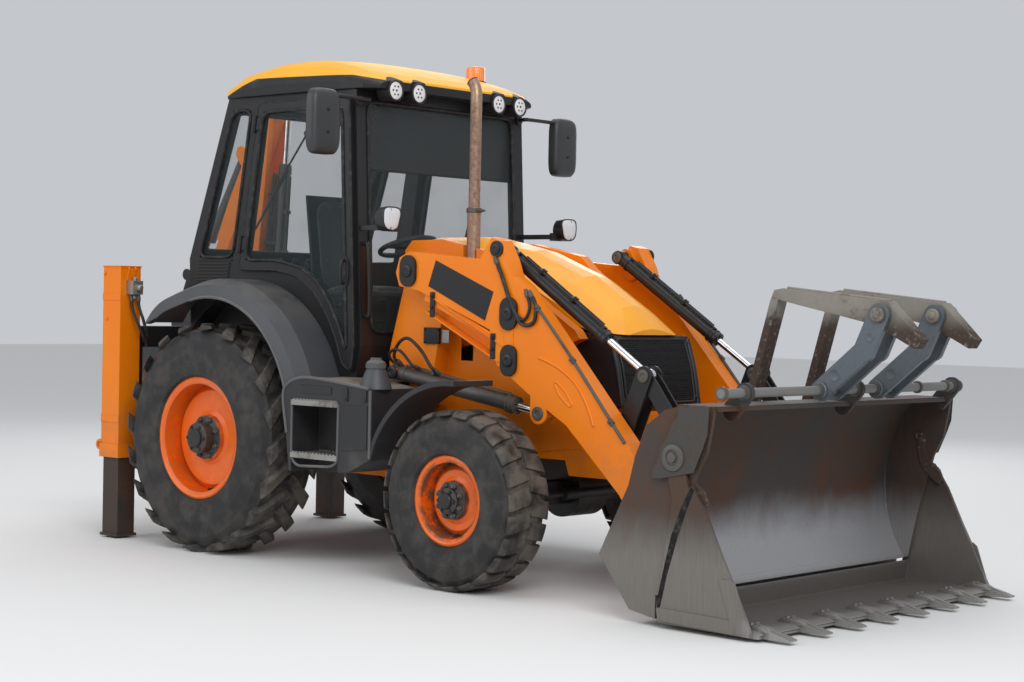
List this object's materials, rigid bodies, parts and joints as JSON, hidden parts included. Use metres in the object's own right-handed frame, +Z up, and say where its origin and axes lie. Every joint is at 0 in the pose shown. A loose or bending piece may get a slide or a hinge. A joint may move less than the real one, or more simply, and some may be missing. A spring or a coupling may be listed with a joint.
{
  "type": "backhoe loader",
  "caption": "Wheeled backhoe loader with a front loader bucket and fold-over forks, a glazed cab and a side-shifting backhoe folded behind it.",
  "frame": {"origin": "on the ground under the middle of the machine's whole length and width", "axes": "+X forward along the machine, +Y to its left, +Z up"},
  "size_m": [7.072, 2.362, 3.1303],
  "materials": {
    "orange_paint": "gloss",
    "black_paint": "satin",
    "dark_plastic": "matte",
    "grey_plastic": "satin",
    "cast_grey": "rough",
    "worn_steel": "worn",
    "bucket_steel": "worn",
    "fork_steel": "weathered",
    "exhaust_steel": "heat stained",
    "rod_chrome": "polished",
    "tread_aluminium": "satin",
    "tyre_rubber": "dusty",
    "cab_glass": "clear",
    "seat_cloth": "woven",
    "mirror_shell": "satin",
    "lamp_body": "satin"
  },
  "bodies": {
    "chassis": {"frame": "orange_paint", "driveline": "cast_grey", "rear_axle": "cast_grey", "front_axle": "orange_paint", "towers": "orange_paint", "grille": "dark_plastic", "exhaust": "exhaust_steel", "side_boxes": "dark_plastic", "steps": "tread_aluminium", "fenders": "grey_plastic", "cab_frame": "black_paint", "roof": "orange_paint", "lamps": "lamp_body", "cab_glass": "cab_glass", "seat": "seat_cloth", "console": "dark_plastic", "mirrors": "mirror_shell", "rear_frame": "black_paint", "stab_housings": "orange_paint"},
    "hood": {"hood": "orange_paint"},
    "door_left": {"door_left": "black_paint", "door_glass_left": "cab_glass"},
    "door_right": {"door_right": "black_paint", "door_glass_right": "cab_glass"},
    "rear_wheel_left": {"tyre_rear_left": "tyre_rubber", "rim_rear_left": "orange_paint"},
    "rear_wheel_right": {"tyre_rear_right": "tyre_rubber", "rim_rear_right": "orange_paint"},
    "front_wheel_left": {"tyre_front_left": "tyre_rubber", "rim_front_left": "orange_paint"},
    "front_wheel_right": {"tyre_front_right": "tyre_rubber", "rim_front_right": "orange_paint"},
    "knuckle_left": {"knuckle_left": "cast_grey"},
    "knuckle_right": {"knuckle_right": "cast_grey"},
    "loader": {"loader_arms": "orange_paint"},
    "lift_barrels": {"lift_barrels": "cast_grey"},
    "lift_rods": {"lift_rods": "rod_chrome"},
    "tilt_barrels": {"tilt_barrels": "black_paint"},
    "tilt_rods": {"tilt_rods": "rod_chrome"},
    "tip_levers": {"tip_levers": "black_paint"},
    "tip_links": {"tip_links": "black_paint"},
    "bucket": {"bucket": "bucket_steel"},
    "bucket_jaw": {"bucket_jaw": "bucket_steel"},
    "fork_carriers": {"fork_carriers": "worn_steel"},
    "forks": {"forks": "fork_steel"},
    "stab_leg_left": {"stab_leg_left": "cast_grey"},
    "stab_leg_right": {"stab_leg_right": "cast_grey"},
    "carriage": {"carriage": "black_paint"},
    "kingpost": {"kingpost": "orange_paint"},
    "boom": {"boom": "orange_paint"},
    "boom_barrel": {"boom_barrel": "cast_grey"},
    "boom_rod": {"boom_rod": "rod_chrome"},
    "dipper": {"dipper": "orange_paint"},
    "dipper_barrel": {"dipper_barrel": "cast_grey"},
    "dipper_rod": {"dipper_rod": "rod_chrome"},
    "hoe_bucket": {"hoe_bucket": "bucket_steel"},
    "hoe_lever": {"hoe_lever": "black_paint"},
    "hoe_link": {"hoe_link": "black_paint"},
    "crowd_barrel": {"crowd_barrel": "cast_grey"},
    "crowd_rod": {"crowd_rod": "rod_chrome"}
  },
  "joints": [
    {"name": "rear_wheel_left_spin", "type": "hinge", "parent": "chassis", "child": "rear_wheel_left", "pos_m": [-1.075, 0.885, 0.715], "axis": [0, 1, 0], "continuous": true},
    {"name": "steer_left", "type": "hinge", "parent": "chassis", "child": "knuckle_left", "pos_m": [1.095, 0.74, 0.5], "axis": [0, 0, 1], "range_deg": [-28, 28]},
    {"name": "front_wheel_left_spin", "type": "hinge", "parent": "knuckle_left", "child": "front_wheel_left", "pos_m": [1.095, 0.95, 0.5], "axis": [0, 1, 0], "continuous": true},
    {"name": "rear_wheel_right_spin", "type": "hinge", "parent": "chassis", "child": "rear_wheel_right", "pos_m": [-1.075, -0.885, 0.715], "axis": [0, 1, 0], "continuous": true},
    {"name": "steer_right", "type": "hinge", "parent": "chassis", "child": "knuckle_right", "pos_m": [1.095, -0.74, 0.5], "axis": [0, 0, 1], "range_deg": [-28, 28]},
    {"name": "front_wheel_right_spin", "type": "hinge", "parent": "knuckle_right", "child": "front_wheel_right", "pos_m": [1.095, -0.95, 0.5], "axis": [0, 1, 0], "continuous": true},
    {"name": "hood_hinge", "type": "hinge", "parent": "chassis", "child": "hood", "pos_m": [0.125, 0, 1.9], "axis": [0, -1, 0], "range_deg": [0, 45]},
    {"name": "door_left_hinge", "type": "hinge", "parent": "chassis", "child": "door_left", "pos_m": [-1.075, 0.7403, 1.77], "axis": [0.1585, 0, 0.9874], "range_deg": [0, 80]},
    {"name": "door_right_hinge", "type": "hinge", "parent": "chassis", "child": "door_right", "pos_m": [-1.075, -0.7403, 1.77], "axis": [-0.1585, 0, -0.9874], "range_deg": [0, 80]},
    {"name": "loader_lift", "type": "hinge", "parent": "chassis", "child": "loader", "pos_m": [0.365, 0, 1.77], "axis": [0, -1, 0], "range_deg": [0, 75]},
    {"name": "lift_ram_turn", "type": "hinge", "parent": "chassis", "child": "lift_barrels", "pos_m": [0.235, 0, 1.17], "axis": [0, -1, 0], "range_deg": [-1, 61.82]},
    {"name": "lift_ram_slide", "type": "slide", "parent": "lift_barrels", "child": "lift_rods", "axis": [0.9874, 0, -0.1582], "range_m": [-0.005, 0.6821]},
    {"name": "bucket_tilt", "type": "hinge", "parent": "loader", "child": "bucket", "pos_m": [2.225, 0, 0.4], "axis": [0, 1, 0], "range_deg": [-30, 80]},
    {"name": "tip_lever_turn", "type": "hinge", "parent": "loader", "child": "tip_levers", "pos_m": [1.875, 0, 0.85], "axis": [0, 1, 0], "range_deg": [-31, 81]},
    {"name": "tip_link_turn", "type": "hinge", "parent": "tip_levers", "child": "tip_links", "pos_m": [2.025, 0, 1.215], "axis": [0, -1, 0], "range_deg": [-31, 81]},
    {"name": "tilt_ram_turn", "type": "hinge", "parent": "loader", "child": "tilt_barrels", "pos_m": [0.995, 0, 1.885], "axis": [0, 1, 0], "range_deg": [-3, 6]},
    {"name": "tilt_ram_slide", "type": "slide", "parent": "tilt_barrels", "child": "tilt_rods", "axis": [0.8383, 0, -0.5453], "range_m": [-0.185, 0.48]},
    {"name": "jaw_hinge", "type": "hinge", "parent": "bucket", "child": "bucket_jaw", "pos_m": [2.705, 0, 0.85], "axis": [0, 1, 0], "range_deg": [-60, 0]},
    {"name": "fork_carrier_hinge", "type": "hinge", "parent": "bucket", "child": "fork_carriers", "pos_m": [2.96, 0, 1.175], "axis": [0, 1, 0], "range_deg": [0, 85]},
    {"name": "fork_hinge", "type": "hinge", "parent": "fork_carriers", "child": "forks", "pos_m": [3.295, 0, 1.57], "axis": [0, 1, 0], "range_deg": [0, 167]},
    {"name": "stab_left_slide", "type": "slide", "parent": "chassis", "child": "stab_leg_left", "axis": [0, 0, 1], "range_m": [0, 0.5]},
    {"name": "stab_right_slide", "type": "slide", "parent": "chassis", "child": "stab_leg_right", "axis": [0, 0, 1], "range_m": [0, 0.5]},
    {"name": "carriage_slide", "type": "slide", "parent": "chassis", "child": "carriage", "axis": [0, -1, 0], "range_m": [0, 1.16]},
    {"name": "slew", "type": "hinge", "parent": "carriage", "child": "kingpost", "pos_m": [-2.545, 0.58, 1], "axis": [0, 0, 1], "range_deg": [-90, 90]},
    {"name": "boom_hinge", "type": "hinge", "parent": "kingpost", "child": "boom", "pos_m": [-2.765, 0.58, 0.83], "axis": [0, -1, 0], "range_deg": [0, 85]},
    {"name": "boom_ram_turn", "type": "hinge", "parent": "kingpost", "child": "boom_barrel", "pos_m": [-2.975, 0.58, 0.64], "axis": [0, -1, 0], "range_deg": [-1, 74.12]},
    {"name": "boom_ram_slide", "type": "slide", "parent": "boom_barrel", "child": "boom_rod", "axis": [0.3567, 0, 0.9342], "range_m": [-0.3323, 0.005]},
    {"name": "dipper_hinge", "type": "hinge", "parent": "boom", "child": "dipper", "pos_m": [-2.305, 0.58, 2.88], "axis": [0, 1, 0], "range_deg": [0, 110]},
    {"name": "dipper_ram_turn", "type": "hinge", "parent": "boom", "child": "dipper_barrel", "pos_m": [-2.225, 0.58, 1.65], "axis": [0, 1, 0], "range_deg": [-1, 3]},
    {"name": "dipper_ram_slide", "type": "slide", "parent": "dipper_barrel", "child": "dipper_rod", "axis": [0.0646, 0, 0.9979], "range_m": [-0.3915, 0.005]},
    {"name": "hoe_bucket_hinge", "type": "hinge", "parent": "dipper", "child": "hoe_bucket", "pos_m": [-3.105, 0.58, 1.43], "axis": [0, 1, 0], "range_deg": [0, 74]},
    {"name": "hoe_lever_turn", "type": "hinge", "parent": "dipper", "child": "hoe_lever", "pos_m": [-2.98634, 0.58, 1.70717], "axis": [0, 1, 0], "range_deg": [-1, 75]},
    {"name": "hoe_link_turn", "type": "hinge", "parent": "hoe_lever", "child": "hoe_link", "pos_m": [-3.14796, 0.58, 1.76082], "axis": [0, -1, 0], "range_deg": [-1, 75]},
    {"name": "crowd_ram_turn", "type": "hinge", "parent": "dipper", "child": "crowd_barrel", "pos_m": [-2.60058, 0.58, 2.65476], "axis": [0, 1, 0], "range_deg": [-6, 1]},
    {"name": "crowd_ram_slide", "type": "slide", "parent": "crowd_barrel", "child": "crowd_rod", "axis": [-0.5222, 0, -0.8528], "range_m": [-0.1937, 0.005]}
  ],
  "couplings": [
    {"joint": "steer_right", "follows": "steer_left", "ratio": 1},
    {"joint": "lift_ram_turn", "follows": "loader_lift", "ratio": 0.8109},
    {"joint": "lift_ram_slide", "follows": "loader_lift", "m_per_rad": 0.5173},
    {"joint": "tip_lever_turn", "follows": "bucket_tilt", "ratio": 1},
    {"joint": "tip_link_turn", "follows": "bucket_tilt", "ratio": 1},
    {"joint": "tilt_ram_turn", "follows": "bucket_tilt", "ratio": 0.0635},
    {"joint": "tilt_ram_slide", "follows": "bucket_tilt", "m_per_rad": 0.3395},
    {"joint": "boom_ram_turn", "follows": "boom_hinge", "ratio": 0.8602},
    {"joint": "boom_ram_slide", "follows": "boom_hinge", "m_per_rad": -0.2206},
    {"joint": "dipper_ram_turn", "follows": "dipper_hinge", "ratio": 0.0101},
    {"joint": "dipper_ram_slide", "follows": "dipper_hinge", "m_per_rad": -0.2013},
    {"joint": "hoe_lever_turn", "follows": "hoe_bucket_hinge", "ratio": 1},
    {"joint": "hoe_link_turn", "follows": "hoe_bucket_hinge", "ratio": 1},
    {"joint": "crowd_ram_turn", "follows": "hoe_bucket_hinge", "ratio": -0.058},
    {"joint": "crowd_ram_slide", "follows": "hoe_bucket_hinge", "m_per_rad": -0.1461}
  ]
}
